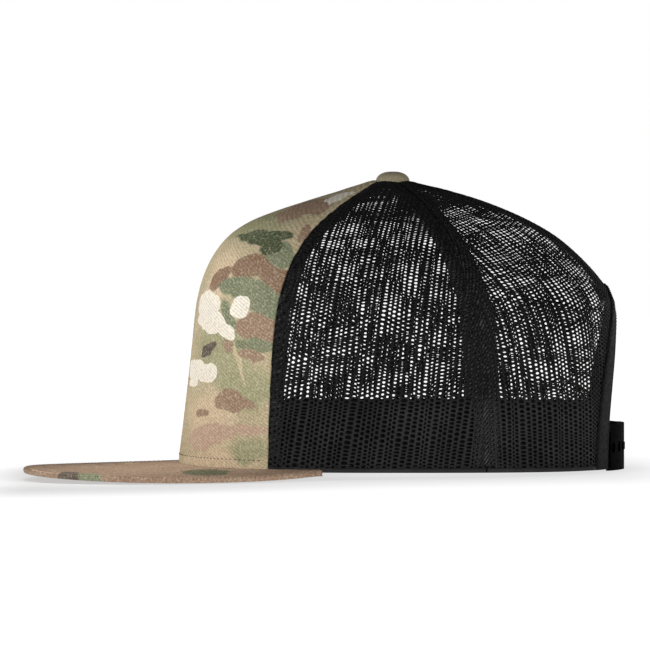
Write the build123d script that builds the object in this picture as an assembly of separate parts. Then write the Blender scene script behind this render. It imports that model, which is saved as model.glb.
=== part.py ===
"""Five-panel trucker cap: a printed twill front, mesh sides and back, a nearly flat visor and a snap strap.

Frame, in millimetres: +Z is up, -Y is the way the visor points and +X is the wearer's left.
The origin is the centre of the head opening, in the plane of the crown's lower edge, right below the button.
"""

from build123d import *

import math
import os

# ---------------------------------------------------------------- driving dimensions
CROWN_HALF_WIDTH = 83.0
CROWN_TOP = 126.5
# Level sections of the crown's outer surface: height, reach to the front, reach to the back,
# half width, and how square the front and back halves are (2 is an ellipse).
CROWN_LEVELS = [
    (-12.0, 95.9, 97.0, 82.6, 2.2, 3.0),
    (0.0, 95.4, 97.0, 83.0, 2.2, 3.0),
    (20.0, 93.2, 97.3, 83.1, 2.2, 3.0),
    (38.0, 91.1, 98.2, 82.4, 2.2, 2.95),
    (56.0, 89.2, 99.2, 80.6, 2.2, 2.85),
    (66.0, 88.2, 99.4, 78.6, 2.2, 2.75),
    (73.0, 87.3, 98.8, 76.4, 2.2, 2.65),
    (79.0, 86.0, 96.2, 73.6, 2.2, 2.58),
    (85.0, 84.2, 91.6, 70.0, 2.2, 2.5),
    (91.0, 81.6, 85.9, 65.6, 2.2, 2.42),
    (97.0, 77.9, 79.4, 60.2, 2.18, 2.34),
    (103.0, 72.6, 72.0, 53.6, 2.15, 2.26),
    (109.0, 63.6, 62.6, 45.4, 2.1, 2.18),
    (114.0, 51.5, 53.0, 37.2, 2.05, 2.1),
    (118.0, 39.5, 43.0, 29.8, 2.0, 2.05),
    (122.0, 26.4, 30.0, 21.0, 2.0, 2.0),
    (CROWN_TOP, 10.0, 10.8, 8.0, 2.0, 2.0),
]
SECTION_POINTS = 24

# Depth of each layer below the outer surface, measured at the side of the head.
PANEL = (0.0, 0.9)
BUCKRAM = (0.95, 1.8)
INNER_TAPE = (0.95, 1.45)
FRONT_TAPE = (1.85, 2.35)
STRAP_TAB = (1.55, 2.95)
INTERLINING = (3.0, 3.35)
SWEATBAND = (3.4, 4.6)
LABEL = (4.75, 5.1)

# Seams lie in upright planes: y = START + SLOPE * |x|.
FRONT_SEAM_START, FRONT_SEAM_SLOPE = -5.0, -0.715
SIDE_SEAM_START, SIDE_SEAM_SLOPE = -1.5, 0.51
SEAM_GAP = 0.1
TAPE_WIDTH = 11.0
TAPE_TOP_RADIUS = 13.0

HEM_HEIGHT = 0.3
SWEATBAND_HEIGHT = 28.5
INTERLINING_HEIGHT = 27.0

ARCH_HALF_WIDTH, ARCH_HEIGHT = 38.0, 68.0
BINDING_WIDTH, BINDING_THICKNESS = 5.0, 0.5

VISOR_RADIUS, VISOR_CENTRE_Y = 94.6, -70.2
VISOR_CORNER_X, VISOR_CORNER_Y = 78.6, -30.0
VISOR_TURN_Y = -62.0
VISOR_THICKNESS, VISOR_COVER = 2.8, 0.6
VISOR_TILT, VISOR_ARCH_RADIUS = 1.8, 1160.0
VISOR_ROOT_Y, VISOR_ROOT_Z = -95.3, 2.3
VISOR_CLEARANCE = 0.15

STRAP_RADIUS, STRAP_CENTRE_Y = 77.0, 26.2
STRAP_THICKNESS, STRAP_GAP = 1.5, 0.1
STRAP_HEIGHT, STRAP_BOTTOM = 20.5, -0.6
STRAP_ROOT_X = 34.5
STRAP_CORNER = 5.0
STRAP_TIP_ANGLE = 14.0
TAB_START_X, TAB_END_X = 36.2, 50.0
HOLE_STRAP_HINGE, PEG_STRAP_HINGE = (35.6, 95.3), (-35.5, 91.2)
HINGE_RADIUS, HINGE_LEG = 0.6, 0.8
HINGE_LEG_Y, HINGE_LEG_REACH = 92.1, 1.4
HINGE_BOTTOM, HINGE_TOP = 1.0, 16.5
PEG_PITCH_ANGLE = 6.6
PEG_COUNT = 6
PEG_RADIUS, HOLE_RADIUS = 1.8, 2.45
PEG_RISE, PEG_ROUNDING = 0.35, 0.4

BUTTON_RADIUS, BUTTON_BASE_Z, BUTTON_HEIGHT = 7.5, 126.65, 5.0
BUTTON_COVER, BUTTON_SHELL = 0.7, 0.6
TACK_STEM_RADIUS, TACK_FLANGE_RADIUS, TACK_FLANGE_THICKNESS = 1.5, 5.0, 0.8
TACK_HOLE_RADIUS = 1.9

VISOR_SPAN = 110.0
FAR = 300.0


# ---------------------------------------------------------------- the crown's surface
def level_wire(level):
    """The closed outline of the crown at one height."""
    z, front, back, half_width, front_power, back_power = level
    points = []
    for i in range(SECTION_POINTS):
        turn = 2 * math.pi * i / SECTION_POINTS
        along, across = math.cos(turn), math.sin(turn)
        power, reach = (back_power, back) if along > 0 else (front_power, front)
        x = half_width * math.copysign(abs(across) ** (2 / power), across)
        y = reach * math.copysign(abs(along) ** (2 / power), along)
        points.append((x, y, z))
    return Wire([Edge.make_spline(points, periodic=True)])


def crown_body():
    """The whole space inside the crown's outer surface, running on below the lower edge."""
    return Solid.make_loft([level_wire(level) for level in CROWN_LEVELS])


def layer(outside, depths):
    """The shell between two depths. A smaller copy about the head opening's centre is the deeper face."""
    outer, inner = (outside.scale(1 - depth / CROWN_HALF_WIDTH) for depth in depths)
    return outer - inner


def slab(low_z, high_z):
    """Everything between two heights."""
    return Pos(0, 0, (low_z + high_z) / 2) * Box(2 * FAR, 2 * FAR, high_z - low_z)


def upright(points):
    """An upright prism over a plan polygon, taller than the crown."""
    face = make_face(Polyline(*points, close=True))
    return Pos(0, 0, -20) * extrude(face, 200)


def seam_point(start, slope, x, shift=0.0):
    """A plan point on a seam at that x, shifted square to the seam by shift, towards the back."""
    return (x, start + slope * x + shift * math.hypot(1, slope))


def front_wedge():
    start = seam_point(FRONT_SEAM_START, FRONT_SEAM_SLOPE, 0, -SEAM_GAP / 2)
    end = seam_point(FRONT_SEAM_START, FRONT_SEAM_SLOPE, FAR, -SEAM_GAP / 2)
    return upright([start, end, (-end[0], end[1])])


def side_wedge():
    low = seam_point(FRONT_SEAM_START, FRONT_SEAM_SLOPE, SEAM_GAP / 2, SEAM_GAP / 2)
    low_end = seam_point(FRONT_SEAM_START, FRONT_SEAM_SLOPE, FAR, SEAM_GAP / 2)
    high = seam_point(SIDE_SEAM_START, SIDE_SEAM_SLOPE, SEAM_GAP / 2, -SEAM_GAP / 2)
    high_end = seam_point(SIDE_SEAM_START, SIDE_SEAM_SLOPE, FAR, -SEAM_GAP / 2)
    return upright([low, low_end, high_end, high])


def back_wedge():
    low = seam_point(SIDE_SEAM_START, SIDE_SEAM_SLOPE, SEAM_GAP / 2, SEAM_GAP / 2)
    low_end = seam_point(SIDE_SEAM_START, SIDE_SEAM_SLOPE, FAR, SEAM_GAP / 2)
    return upright([low, low_end, (FAR, FAR), (SEAM_GAP / 2, FAR)])


def seam_strip(start, slope, width):
    """A straight strip of plan along a seam on the wearer's left."""
    ends = [(0, -1), (FAR, -1), (FAR, 1), (0, 1)]
    return upright([seam_point(start, slope, x, side * width / 2) for x, side in ends])


def arch_prism(grow=0.0):
    """The back opening, made larger by grow on every side but the bottom."""
    half_width, height = ARCH_HALF_WIDTH + grow, ARCH_HEIGHT + grow
    ellipse = Plane.XZ * Ellipse(half_width, height)
    upper = extrude(ellipse, -FAR) & slab(0, FAR)
    lower = Pos(0, FAR / 2, -10) * Box(2 * half_width, FAR, 20)
    return upper + lower


def mirrored(shape):
    return mirror(shape, about=Plane.YZ)


# ---------------------------------------------------------------- crown pieces
def crown_panels(outside):
    above_hem = slab(HEM_HEIGHT, FAR) - Pos(0, 0, 100) * Cylinder(TACK_HOLE_RADIUS, 200)
    shell = layer(outside, PANEL) & above_hem
    side = shell & side_wedge()
    back = (shell & back_wedge()) - arch_prism()
    buckram = layer(outside, BUCKRAM) & above_hem & front_wedge()
    return {
        "front_panel": shell & front_wedge(),
        "front_buckram": buckram,
        "side_mesh_left": side,
        "side_mesh_right": mirrored(side),
        "back_mesh_left": back,
        "back_mesh_right": mirrored(back),
    }


def seam_tapes(outside):
    clear_of_tack = Pos(0, 0, 100) * Cylinder(TAPE_TOP_RADIUS, 200)
    above_band = slab(SWEATBAND_HEIGHT + 0.5, FAR) - clear_of_tack
    inner = layer(outside, INNER_TAPE) & above_band
    front = layer(outside, FRONT_TAPE) & above_band
    front_tape = front & seam_strip(FRONT_SEAM_START, FRONT_SEAM_SLOPE, TAPE_WIDTH)
    side_tape = inner & seam_strip(SIDE_SEAM_START, SIDE_SEAM_SLOPE, TAPE_WIDTH)
    back_strip = Pos(0, FAR / 2, 0) * Box(TAPE_WIDTH, FAR, 2 * FAR)
    back_tape = (inner & back_strip) - arch_prism(BINDING_WIDTH + 0.3)
    return {
        "front_seam_tape_left": front_tape,
        "front_seam_tape_right": mirrored(front_tape),
        "side_seam_tape_left": side_tape,
        "side_seam_tape_right": mirrored(side_tape),
        "back_seam_tape": back_tape,
    }


def arch_binding(outside):
    """A tape folded over the edge of the back opening, with a leg on each side of the mesh."""
    clearance = 0.05
    faces = (-BINDING_THICKNESS - clearance, PANEL[1] + BINDING_THICKNESS - 0.1)
    left = slab(HEM_HEIGHT, FAR) & (Pos(FAR / 2, FAR / 2, 0) * Box(FAR, FAR, 2 * FAR))
    half = (layer(outside, faces) & left & arch_prism(BINDING_WIDTH)) - arch_prism(-BINDING_THICKNESS)
    groove = layer(outside, (PANEL[0] - clearance, PANEL[1] + clearance))
    half -= groove - arch_prism(-clearance)
    return half + mirrored(half)


def head_band(outside):
    """The sweatband, the interlining behind it and a blank care label, all open at the back."""
    opening = Pos(0, FAR / 2, 0) * Box(2 * (ARCH_HALF_WIDTH + 0.5), FAR, 200)
    band = (layer(outside, SWEATBAND) & slab(0, SWEATBAND_HEIGHT)) - opening
    lining = (layer(outside, INTERLINING) & slab(HEM_HEIGHT, INTERLINING_HEIGHT)) - opening
    label_place = Pos(FAR / 2, 46, 15) * Box(FAR, 16, 24)
    return {
        "sweatband": band,
        "sweatband_interlining": lining,
        "care_label": layer(outside, LABEL) & label_place,
    }


# ---------------------------------------------------------------- visor
def visor_outline(inset=0.0):
    """The visor's plan, running on under the crown, which is cut away afterwards."""
    radius = VISOR_RADIUS - inset
    turn_y = VISOR_TURN_Y
    turn_x = math.sqrt(radius**2 - (turn_y - VISOR_CENTRE_Y) ** 2)
    corner = (VISOR_CORNER_X - 0.4 * inset, VISOR_CORNER_Y - 1.4 * inset)
    tip = (0, VISOR_CENTRE_Y - radius)
    front = ThreePointArc((-turn_x, turn_y), tip, (turn_x, turn_y))
    out = front % 1
    left = TangentArc((turn_x, turn_y), corner, tangent=(out.X, out.Y))
    right = mirror(left, about=Plane.YZ)
    back = Line(corner, (-corner[0], corner[1]))
    return make_face([front, left, right, back])


def visor_arch(depth):
    """A wide arc across the visor at a depth below its top face."""
    radius = VISOR_ARCH_RADIUS - depth
    drop = VISOR_ARCH_RADIUS - math.sqrt(radius**2 - VISOR_SPAN**2)
    return ThreePointArc((-VISOR_SPAN, -drop), (0, -depth), (VISOR_SPAN, -drop))


def visor_slab(inset, top, bottom):
    """A slightly arched slab of the visor between two depths below its top face, before it is tilted."""
    upper, lower = visor_arch(top), visor_arch(bottom)
    section = make_face([upper, Line(upper @ 1, lower @ 1), lower, Line(lower @ 0, upper @ 0)])
    return extrude(Plane.XZ * section, FAR) & (Pos(0, 0, -20) * extrude(visor_outline(inset), 40))


def visor_pieces(outside):
    cut = outside.scale(1 + VISOR_CLEARANCE / CROWN_HALF_WIDTH)
    board_cut = outside.scale(1 + (VISOR_CLEARANCE + 0.3) / CROWN_HALF_WIDTH)
    place = Pos(0, VISOR_ROOT_Y, VISOR_ROOT_Z) * Rot(X=VISOR_TILT) * Pos(0, -VISOR_ROOT_Y, 0)
    inside, gap = VISOR_COVER + 0.05, 0.05
    core = visor_slab(inside, VISOR_COVER, VISOR_THICKNESS + 1)
    top = visor_slab(0, 0, VISOR_THICKNESS) - core
    board = visor_slab(inside + gap, inside, VISOR_THICKNESS - inside)
    under = visor_slab(inside + gap, VISOR_THICKNESS - VISOR_COVER, VISOR_THICKNESS)
    return {
        "visor_top_cover": (place * top) - cut,
        "visor_board": (place * board) - board_cut,
        "visor_under_cover": (place * under) - cut,
    }


# ---------------------------------------------------------------- snap strap
def strap_point(radius, angle):
    """A plan point on the strap's arc. Angle 0 is the middle of the back, in degrees towards +X."""
    turn = math.radians(angle)
    return (radius * math.sin(turn), STRAP_CENTRE_Y + radius * math.cos(turn))


def strap_band(outer_radius, root_angle, tip_angle):
    """A curved upright band with round corners at its free tip."""
    inner_radius = outer_radius - STRAP_THICKNESS
    middle = (root_angle + tip_angle) / 2
    rim = ThreePointArc(*(strap_point(outer_radius, a) for a in (root_angle, middle, tip_angle)))
    bore = ThreePointArc(*(strap_point(inner_radius, a) for a in (tip_angle, middle, root_angle)))
    face = make_face([rim, Line(rim @ 1, bore @ 0), bore, Line(bore @ 1, rim @ 0)])
    band = Pos(0, 0, STRAP_BOTTOM) * extrude(face, STRAP_HEIGHT)
    tip = strap_point(outer_radius - STRAP_THICKNESS / 2, tip_angle)
    for height in (STRAP_BOTTOM, STRAP_BOTTOM + STRAP_HEIGHT):
        corner = band.edges().sort_by_distance((*tip, height))[0]
        band = fillet(corner, STRAP_CORNER)
    return band


def peg_angles():
    """Places of the strap's pegs, or of its holes if turned to the other side."""
    first = -1.5 * PEG_PITCH_ANGLE
    return [first + i * PEG_PITCH_ANGLE for i in range(PEG_COUNT)]


def radial(angle, radius, height):
    """A cylinder of that height which points outwards from the strap's arc, standing on the axis."""
    stand = Pos(0, STRAP_CENTRE_Y, STRAP_BOTTOM + STRAP_HEIGHT / 2) * Rot(Z=-angle) * Rot(X=-90)
    return stand * (Pos(0, 0, height / 2) * Cylinder(radius, height))


def strap_root_angle(radius):
    return math.degrees(math.asin(STRAP_ROOT_X / radius))


def hole_strap():
    """The outer half, sewn in on the wearer's left, with holes along it."""
    mid = STRAP_RADIUS - STRAP_THICKNESS / 2
    band = strap_band(STRAP_RADIUS, strap_root_angle(mid), -STRAP_TIP_ANGLE)
    for angle in peg_angles():
        band -= radial(angle, HOLE_RADIUS, STRAP_RADIUS + 5)
    return band


def peg_strap():
    """The inner half, sewn in on the wearer's right, with pegs that stand through the holes."""
    outer = STRAP_RADIUS - STRAP_THICKNESS - STRAP_GAP
    band = strap_band(outer, -strap_root_angle(outer - STRAP_THICKNESS / 2), STRAP_TIP_ANGLE)
    tip = STRAP_RADIUS + PEG_RISE
    middle = (0, STRAP_CENTRE_Y, STRAP_BOTTOM + STRAP_HEIGHT / 2)
    for angle in peg_angles():
        peg = radial(-angle, PEG_RADIUS, tip)
        rim = peg.edges().filter_by(GeomType.CIRCLE).sort_by_distance(middle)[-1]
        peg = fillet(rim, PEG_ROUNDING)
        seat = radial(-angle, PEG_RADIUS + 1, outer - STRAP_THICKNESS / 2)
        band += peg - seat
    return band


def hinge_bead(x, y):
    """The upright bead that a strap swings about, on a bent leg that runs into its sewn-in tab."""
    height, middle = HINGE_TOP - HINGE_BOTTOM, (HINGE_TOP + HINGE_BOTTOM) / 2
    bead = Pos(x, y, middle) * Cylinder(HINGE_RADIUS, height)
    inward = Pos(x, (y + HINGE_LEG_Y) / 2, middle) * Box(HINGE_LEG, abs(y - HINGE_LEG_Y), height)
    length = HINGE_LEG / 2 + HINGE_LEG_REACH
    shift = math.copysign(length / 2 - HINGE_LEG / 2, x)
    sideways = Pos(x + shift, HINGE_LEG_Y, middle) * Box(length, HINGE_LEG, height)
    return bead + inward + sideways


def strap_tabs(outside):
    """The sewn-in ends, held between the mesh and the sweatband, each with its strap's hinge bead."""
    low, high = STRAP_BOTTOM + 1.6, STRAP_BOTTOM + STRAP_HEIGHT
    place = Pos((TAB_START_X + TAB_END_X) / 2, FAR / 2, 0) * Box(TAB_END_X - TAB_START_X, FAR, 2 * FAR)
    tab = layer(outside, STRAP_TAB) & slab(low, high) & place
    return {
        "hole_strap_tab": tab + hinge_bead(*HOLE_STRAP_HINGE),
        "peg_strap_tab": mirrored(tab) + hinge_bead(*PEG_STRAP_HINGE),
    }


# ---------------------------------------------------------------- top button
def dome(radius, height, base_z):
    """A solid button: a shallow round top over a short upright rim."""
    rise = 0.55 * height
    ball = (radius**2 + rise**2) / (2 * rise)
    post = Pos(0, 0, base_z + height / 2) * Cylinder(radius, height)
    return post & (Pos(0, 0, base_z + height - ball) * Sphere(ball))


def button_pieces():
    cover = dome(BUTTON_RADIUS, BUTTON_HEIGHT, BUTTON_BASE_Z)
    cover -= dome(BUTTON_RADIUS - BUTTON_COVER, BUTTON_HEIGHT - BUTTON_COVER, BUTTON_BASE_Z)
    gap = BUTTON_COVER + 0.05
    shell = dome(BUTTON_RADIUS - gap, BUTTON_HEIGHT - gap, BUTTON_BASE_Z)
    shell -= dome(BUTTON_RADIUS - gap - BUTTON_SHELL, BUTTON_HEIGHT - gap - BUTTON_SHELL, BUTTON_BASE_Z)
    flange_top = 124.3
    stem = flange_top, BUTTON_BASE_Z + BUTTON_HEIGHT - gap - BUTTON_SHELL - 0.2
    tack = Pos(0, 0, flange_top - TACK_FLANGE_THICKNESS / 2) * Cylinder(TACK_FLANGE_RADIUS, TACK_FLANGE_THICKNESS)
    tack += Pos(0, 0, sum(stem) / 2) * Cylinder(TACK_STEM_RADIUS, stem[1] - stem[0])
    return {"button_cover": cover, "button_shell": shell, "button_tack": tack}


# ---------------------------------------------------------------- write the parts
def build():
    outside = crown_body()
    parts = crown_panels(outside)
    parts |= seam_tapes(outside)
    parts["arch_binding"] = arch_binding(outside)
    parts |= head_band(outside)
    parts |= visor_pieces(outside)
    parts["hole_strap"] = hole_strap()
    parts["peg_strap"] = peg_strap()
    parts |= strap_tabs(outside)
    parts |= button_pieces()
    return parts


os.makedirs("parts", exist_ok=True)
for name, part in build().items():
    export_step(part, f"parts/{name}.step")
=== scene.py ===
"""A camouflage trucker cap on a pale floor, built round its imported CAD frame.

The frame is in metres: +Z up, -Y the way the visor points, +X the wearer's left. The cloth is
worked out here in millimetres on the crown's own surface, then written as metres.
"""

import math

import bpy
import numpy as np
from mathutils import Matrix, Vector


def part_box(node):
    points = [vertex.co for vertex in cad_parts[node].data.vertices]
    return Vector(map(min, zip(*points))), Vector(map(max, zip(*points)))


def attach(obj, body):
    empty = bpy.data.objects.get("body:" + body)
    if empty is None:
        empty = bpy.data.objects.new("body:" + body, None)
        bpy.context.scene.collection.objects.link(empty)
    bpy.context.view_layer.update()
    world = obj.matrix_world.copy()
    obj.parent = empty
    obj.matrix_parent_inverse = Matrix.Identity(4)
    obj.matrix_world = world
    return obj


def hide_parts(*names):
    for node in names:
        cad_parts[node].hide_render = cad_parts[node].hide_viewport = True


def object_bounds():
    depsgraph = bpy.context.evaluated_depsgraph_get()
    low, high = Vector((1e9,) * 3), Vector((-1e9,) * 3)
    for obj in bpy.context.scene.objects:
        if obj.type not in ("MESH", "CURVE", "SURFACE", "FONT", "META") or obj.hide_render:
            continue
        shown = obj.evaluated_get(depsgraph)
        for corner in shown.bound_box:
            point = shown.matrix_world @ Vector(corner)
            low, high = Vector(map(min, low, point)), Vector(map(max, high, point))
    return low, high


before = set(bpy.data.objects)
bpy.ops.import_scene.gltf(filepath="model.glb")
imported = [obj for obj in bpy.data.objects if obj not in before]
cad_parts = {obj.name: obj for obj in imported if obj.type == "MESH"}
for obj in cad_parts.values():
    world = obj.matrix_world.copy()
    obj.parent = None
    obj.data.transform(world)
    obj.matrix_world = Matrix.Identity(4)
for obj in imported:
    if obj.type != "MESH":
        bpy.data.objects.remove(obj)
cad_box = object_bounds()

# ---------------- sizes, in millimetres
MM = 0.001
# Level sections of the crown: height, reach to the front, reach to the back, half width,
# and how square the front and back halves are (2 is an ellipse).
CROWN_LEVELS = np.array([
    (-12.0, 95.9, 97.0, 82.6, 2.2, 3.0),
    (0.0, 95.4, 97.0, 83.0, 2.2, 3.0),
    (20.0, 93.2, 97.3, 83.1, 2.2, 3.0),
    (38.0, 91.1, 98.2, 82.4, 2.2, 2.95),
    (56.0, 89.2, 99.2, 80.6, 2.2, 2.85),
    (66.0, 88.2, 99.4, 78.6, 2.2, 2.75),
    (73.0, 87.3, 98.8, 76.4, 2.2, 2.65),
    (79.0, 86.0, 96.2, 73.6, 2.2, 2.58),
    (85.0, 84.2, 91.6, 70.0, 2.2, 2.5),
    (91.0, 81.6, 85.9, 65.6, 2.2, 2.42),
    (97.0, 77.9, 79.4, 60.2, 2.18, 2.34),
    (103.0, 72.6, 72.0, 53.6, 2.15, 2.26),
    (109.0, 63.6, 62.6, 45.4, 2.1, 2.18),
    (114.0, 51.5, 53.0, 37.2, 2.05, 2.1),
    (118.0, 39.5, 43.0, 29.8, 2.0, 2.05),
    (122.0, 26.4, 30.0, 21.0, 2.0, 2.0),
    (126.5, 10.0, 10.8, 8.0, 2.0, 2.0),
    (127.5, 0.5, 0.5, 0.5, 2.0, 2.0),
])
CROWN_TOP = 127.1
HEM = 0.3

# Seams stand in upright planes: y = start + slope * |x|.
FRONT_SEAM = (-5.0, -0.715)
SIDE_SEAM = (-1.5, 0.51)
SEAM_DEPTH, SEAM_REACH = 0.5, 2.2
SEAM_HALF_GAP = 0.0007  # an azimuth, in radians
# The cloth rises and gathers under the button.
GATHER_RISE, GATHER_REACH = 1.1, 12.5
GATHER_LOW, GATHER_HIGH, GATHER_DEPTHS = 124.8, 127.3, (-0.75, -1.05)
UNEVEN = 0.45

HOLE_PITCH_ACROSS, HOLE_PITCH_UP = 2.45, 1.8
HOLE_HALF_WIDTH, HOLE_HALF_HEIGHT = 0.85, 0.6
HOLE_SIZES = (0.8, 1.06)
HOLE_SIDES = 12
# How the knit strays from its even layout: wave lengths and reaches.
WANDER_ACROSS = [(7.3, 0.26), (11.9, 0.4), (23.0, 0.6)]
WANDER_UP = [(9.1, 0.16), (17.0, 0.35), (41.0, 0.6)]
KNIT_THICKNESS, KNIT_DEPTH = 0.46, -0.45
KNIT_MARGIN, KNIT_TOP_MARGIN = 0.2, 2.0
# Each panel's lean and row slope in degrees, and how far its holes close over the top 30 %.
PANEL_LAY = {"side": (-8.0, 3.4, 0.55), "back": (2.5, 0.0, 0.15)}
CLOSING_FROM = 0.7
RIGHT_HAND_TURN = 5.0

TAPE_WIDTH, TAPE_DEPTH, TAPE_THICKNESS = 11.0, -1.5, 0.4
TAPE_LOW, TAPE_HIGH = 3.0, CROWN_TOP - 0.9
SWEATBAND_LOW, SWEATBAND_TOP, SWEATBAND_DEPTH = 0.05, 28.5, -4.0
BUCKRAM_DEPTHS, LINING_DEPTHS = (-0.75, -1.25), (-2.75, -3.35)
LABEL_PHI, LABEL_HEIGHTS, LABEL_DEPTH = (math.atan2(79, 54), math.atan2(79, 38)), (4, 25), -5.2
ARCH_HALF_WIDTH, ARCH_HEIGHT, ARCH_FACING = 38.0, 68.0, 14.0
FRONT_COLUMNS = 260
NEAR_AXIS = 6.0  # the least distance from the axis at which widths are turned into azimuths

VISOR_RADIUS, VISOR_CENTRE_Y = 94.6, -70.2
VISOR_CORNER = (78.6, -30.0)
VISOR_TURN_Y = -62.0
VISOR_THICKNESS = 2.8
VISOR_TILT, VISOR_ARCH_RADIUS = math.radians(1.8), 1160.0
VISOR_ROOT_Y, VISOR_ROOT_Z = -95.3, 2.3
VISOR_ROWS = (9.0, 17.0, 25.0, 33.0, 41.0, 49.0)
VISOR_COLUMNS, TOP_ROWS, EDGE_ROWS = 320, 120, 12
VISOR_ROUND = VISOR_THICKNESS / 2
VISOR_CLOTH = 0.6

BUTTON_RADIUS, BUTTON_BASE, BUTTON_HEIGHT = 7.5, 126.5, 5.15
THREAD_RADIUS = 0.17
FRONT_STITCH_OFFSET, SIDE_STITCH_OFFSETS = 2.2, (-5.4, -1.6, 1.6, 5.4)
SEAM_STITCH_LIFT, SEAM_STITCH_PITCH = -0.36, 2.6
SEAM_STITCH_LOW, SEAM_STITCH_HIGH, HEM_STITCH_Z = 1.5, CROWN_TOP - 1.5, 3.4
BACK_STITCH_OFFSETS, BACK_STITCH_LIFT = (-5.2, -1.6, 1.6, 5.2), -0.42


# ---------------- the crown's surface
def monotone(x, y, at):
    """Smooth interpolation of y over x that never overshoots a level."""
    step, rise = np.diff(x), np.diff(y) / np.diff(x)
    slope = np.zeros(len(x))
    slope[0], slope[-1] = rise[0], rise[-1]
    for i in range(1, len(x) - 1):
        if rise[i - 1] * rise[i] > 0:
            a, b = 2 * step[i] + step[i - 1], step[i] + 2 * step[i - 1]
            slope[i] = (a + b) / (a / rise[i - 1] + b / rise[i])
    at = np.clip(at, x[0], x[-1])
    i = np.clip(np.searchsorted(x, at, side="right") - 1, 0, len(step) - 1)
    t = (at - x[i]) / step[i]
    curve = y[i] * (1 + 2 * t) * (1 - t) ** 2 + y[i + 1] * t**2 * (3 - 2 * t)
    return curve + step[i] * (slope[i] * t * (1 - t) ** 2 - slope[i + 1] * t**2 * (1 - t))


def level(z):
    """Front reach, back reach, half width and the two squarenesses at a height."""
    return [monotone(CROWN_LEVELS[:, 0], CROWN_LEVELS[:, k], z) for k in range(1, 6)]


def crown(phi, z):
    """A point on the plain crown. phi is 0 at the middle of the back and runs towards +X."""
    phi, z = np.broadcast_arrays(np.asarray(phi, float), np.asarray(z, float))
    front, back, half, front_power, back_power = level(z)
    across, along = np.sin(phi), np.cos(phi)
    reach = np.where(along > 0, back, front)
    power = np.where(along > 0, back_power, front_power)
    r = ((np.abs(across) / half) ** power + (np.abs(along) / reach) ** power) ** (-1 / power)
    return np.stack([r * across, r * along, z], -1)


def crown_normal(phi, z):
    """The crown's outward unit normal."""
    turn, rise = 0.01, 0.25
    along = crown(phi + turn, z) - crown(phi - turn, z)
    up = crown(phi, z + rise) - crown(phi, z - rise)
    normal = np.cross(up, along)
    return normal / np.linalg.norm(normal, axis=-1, keepdims=True)


def seam_distance(p, seam):
    start, slope = seam
    return (p[..., 1] - start - slope * np.abs(p[..., 0])) / math.hypot(1, slope)


def relief(p):
    """How the sewn cloth leaves the plain crown: drawn in along seams, a little uneven between."""
    x, y, z = p[..., 0], p[..., 1], p[..., 2]
    drawn = sum(np.exp(-((seam_distance(p, seam) / SEAM_REACH) ** 2)) for seam in (FRONT_SEAM, SIDE_SEAM))
    drawn += np.where(y > 0, np.exp(-((x / SEAM_REACH) ** 2)), 0)
    soft = np.clip(seam_distance(p, FRONT_SEAM) / 25, 0.12, 1)
    uneven = np.sin(x / 17 + 1.3) * np.sin(z / 15 + 0.4) + np.sin(y / 13 + 0.7) * np.sin(z / 21 + 2.1)
    uneven += 0.5 * np.sin((x + y) / 7.5 + z / 11)
    fade = np.clip((z - 24) / 30, 0, 1) * np.clip((CROWN_TOP - z) / 14, 0, 1)
    gathered = GATHER_RISE * np.exp(-((np.hypot(x, y) / GATHER_REACH) ** 4))
    return gathered - SEAM_DEPTH * np.clip(drawn, 0, 1) + UNEVEN * uneven * soft * fade


def off_crown(phi, z, lift):
    """A point square off the plain crown."""
    return crown(phi, z) + crown_normal(phi, z) * np.asarray(lift)[..., None]


def cloth(phi, z, lift=0.0):
    """A point on the sewn crown, lifted off it by lift."""
    return off_crown(phi, z, lift + relief(crown(phi, z)))


def crown_radius(phi, z, least=0.0):
    """How far the plain crown is from the upright axis, or least if that is more."""
    return np.maximum(np.linalg.norm(crown(phi, z)[..., :2], axis=-1), least)


def seam_phi(z, seam):
    """Where a seam on the wearer's left crosses each height, by bisection."""
    z = np.asarray(z, float)
    low, high = np.full(z.shape, 0.15), np.full(z.shape, math.pi - 0.15)
    for _ in range(40):
        middle = (low + high) / 2
        behind = seam_distance(crown(middle, z), seam) > 0
        low, high = np.where(behind, middle, low), np.where(behind, high, middle)
    return (low + high) / 2


def run_length(points):
    """How far along a line of points each of them lies."""
    return np.concatenate([[0], np.cumsum(np.linalg.norm(np.diff(points, axis=0), axis=1))])


def read_off(at, stations, points):
    """Points between the given ones, at other stations."""
    return np.stack([np.interp(at, stations, column) for column in points.T], -1)


def even_heights(phi, low, high, count):
    """Heights evenly spaced along the crown from low to high, up one meridian, and its length."""
    z = np.linspace(low, high, 1500)
    length = run_length(crown(phi, z))
    return np.interp(np.linspace(0, length[-1], count), length, z), length[-1]


def seam_line(seam, low, high, count):
    """Azimuths and heights evenly up a seam on the wearer's left."""
    z, _ = even_heights(float(seam_phi(60.0, seam)), low, high, count)
    return seam_phi(z, seam), z


def phi_at(x, z):
    """The azimuth of the back of the crown at a sideways place and a height."""
    _, back, half, _, back_power = level(z)
    y = back * np.maximum(1 - (np.abs(x) / half) ** back_power, 0) ** (1 / back_power)
    return np.arctan2(x, y)


def round_the_front(start, count):
    """Azimuths from one on the wearer's left round the front to its mirror image."""
    return np.linspace(start, 2 * math.pi - start, count)


def visor_z(place, below=0.0):
    """Height of the visor at a plan place, at some depth below its top face."""
    x, y = place[..., 0], place[..., 1]
    return VISOR_ROOT_Z + (y - VISOR_ROOT_Y) * math.tan(VISOR_TILT) - x**2 / (2 * VISOR_ARCH_RADIUS) - below


# ---------------- meshes
def linked(name, data):
    """A new object in the scene."""
    thing = bpy.data.objects.new(name, data)
    bpy.context.scene.collection.objects.link(thing)
    return thing


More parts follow.
